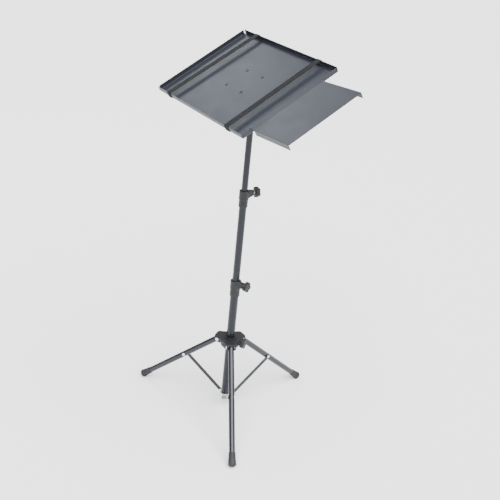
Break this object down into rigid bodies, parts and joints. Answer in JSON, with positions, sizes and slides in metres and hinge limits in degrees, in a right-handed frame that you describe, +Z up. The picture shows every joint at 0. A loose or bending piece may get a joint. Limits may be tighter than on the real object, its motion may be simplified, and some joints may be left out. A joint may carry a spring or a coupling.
{
  "type": "portable projector stand",
  "caption": "Tripod stand with a telescopic mast, a tilting rimmed tray with elastic straps for a projector or laptop, and a side shelf.",
  "frame": {"origin": "on the floor, on the mast's axis, below the tripod's hub", "axes": "Z up along the mast; -Y is the user's side, the tray's low edge; +X is towards the side shelf"},
  "size_m": [0.6946, 0.5257, 1.2511],
  "materials": {
    "sheet_paint": "satin dark powder coat on sheet steel",
    "tube_paint": "semi-gloss black paint on steel tube",
    "brace_paint": "black paint on flat steel strip",
    "moulded_black": "black moulded nylon",
    "zinc": "bright zinc plating",
    "screw_black": "black oxide screws",
    "webbing": "black woven elastic webbing",
    "foot_rubber": "black moulded rubber"
  },
  "bodies": {
    "lower_mast": {"lower_tube": "tube_paint", "lower_clamp": "moulded_black", "lower_clamp_stud": "zinc", "lower_clamp_knob": "moulded_black", "brace_collar": "zinc", "collar_pin_1": "zinc", "collar_pin_2": "zinc", "collar_pin_3": "zinc"},
    "hub_body": {"hub": "moulded_black", "hub_stud": "zinc", "hub_knob": "moulded_black", "leg_pin_1": "zinc", "leg_pin_2": "zinc", "leg_pin_3": "zinc"},
    "leg_body_1": {"leg_1": "tube_paint", "foot_1": "foot_rubber", "leg_rivet_1": "zinc"},
    "leg_body_2": {"leg_2": "tube_paint", "foot_2": "foot_rubber", "leg_rivet_2": "zinc"},
    "leg_body_3": {"leg_3": "tube_paint", "foot_3": "foot_rubber", "leg_rivet_3": "zinc"},
    "brace_body_1": {"brace_1": "brace_paint", "brace_rivet_1": "zinc"},
    "brace_body_2": {"brace_2": "brace_paint", "brace_rivet_2": "zinc"},
    "brace_body_3": {"brace_3": "brace_paint", "brace_rivet_3": "zinc"},
    "middle_mast": {"middle_tube": "tube_paint", "upper_clamp": "moulded_black", "upper_clamp_stud": "zinc", "upper_clamp_knob": "moulded_black"},
    "upper_mast": {"upper_tube": "tube_paint", "tilt_head": "moulded_black"},
    "tray": {"tray_pan": "sheet_paint", "tray_screws": "screw_black", "strap_left": "webbing", "strap_right": "webbing", "side_shelf": "sheet_paint", "shelf_clip": "sheet_paint", "tray_bracket": "tube_paint", "tilt_bolt": "zinc", "tilt_knob": "moulded_black"}
  },
  "joints": [
    {"name": "hub_slide", "type": "slide", "parent": "lower_mast", "child": "hub_body", "axis": [0, 0, 1], "range_m": [0, 0.126]},
    {"name": "leg_fold_1", "type": "hinge", "parent": "hub_body", "child": "leg_body_1", "pos_m": [-0.00176, 0.04196, 0.264], "axis": [-0.9991, -0.0419, 0], "range_deg": [0, 47.37]},
    {"name": "leg_fold_2", "type": "hinge", "parent": "hub_body", "child": "leg_body_2", "pos_m": [-0.03546, -0.0225, 0.264], "axis": [0.5358, -0.8443, 0], "range_deg": [0, 47.37]},
    {"name": "leg_fold_3", "type": "hinge", "parent": "hub_body", "child": "leg_body_3", "pos_m": [0.03722, -0.01946, 0.264], "axis": [0.4633, 0.8862, 0], "range_deg": [0, 47.37]},
    {"name": "brace_fold_1", "type": "hinge", "parent": "lower_mast", "child": "brace_body_1", "pos_m": [-0.00092, 0.02198, 0.044], "axis": [0.9991, 0.0419, 0], "range_deg": [0, 45.69]},
    {"name": "brace_fold_2", "type": "hinge", "parent": "lower_mast", "child": "brace_body_2", "pos_m": [-0.01858, -0.01179, 0.044], "axis": [-0.5358, 0.8443, 0], "range_deg": [0, 45.69]},
    {"name": "brace_fold_3", "type": "hinge", "parent": "lower_mast", "child": "brace_body_3", "pos_m": [0.0195, -0.01019, 0.044], "axis": [-0.4633, -0.8862, 0], "range_deg": [0, 45.69]},
    {"name": "middle_slide", "type": "slide", "parent": "lower_mast", "child": "middle_mast", "axis": [0, 0, 1], "range_m": [-0.255, 0.07]},
    {"name": "upper_slide", "type": "slide", "parent": "middle_mast", "child": "upper_mast", "axis": [0, 0, 1], "range_m": [-0.24, 0.08]},
    {"name": "tray_tilt", "type": "hinge", "parent": "upper_mast", "child": "tray", "pos_m": [0, 0, 1.112], "axis": [1, 0, 0], "range_deg": [-28.5, 16.5]}
  ],
  "couplings": [
    {"joint": "leg_fold_1", "follows": "hub_slide", "rad_per_m": 6.5511},
    {"joint": "leg_fold_2", "follows": "hub_slide", "rad_per_m": 6.5511},
    {"joint": "leg_fold_3", "follows": "hub_slide", "rad_per_m": 6.5511},
    {"joint": "brace_fold_1", "follows": "hub_slide", "rad_per_m": 6.3172},
    {"joint": "brace_fold_2", "follows": "hub_slide", "rad_per_m": 6.3172},
    {"joint": "brace_fold_3", "follows": "hub_slide", "rad_per_m": 6.3172}
  ]
}
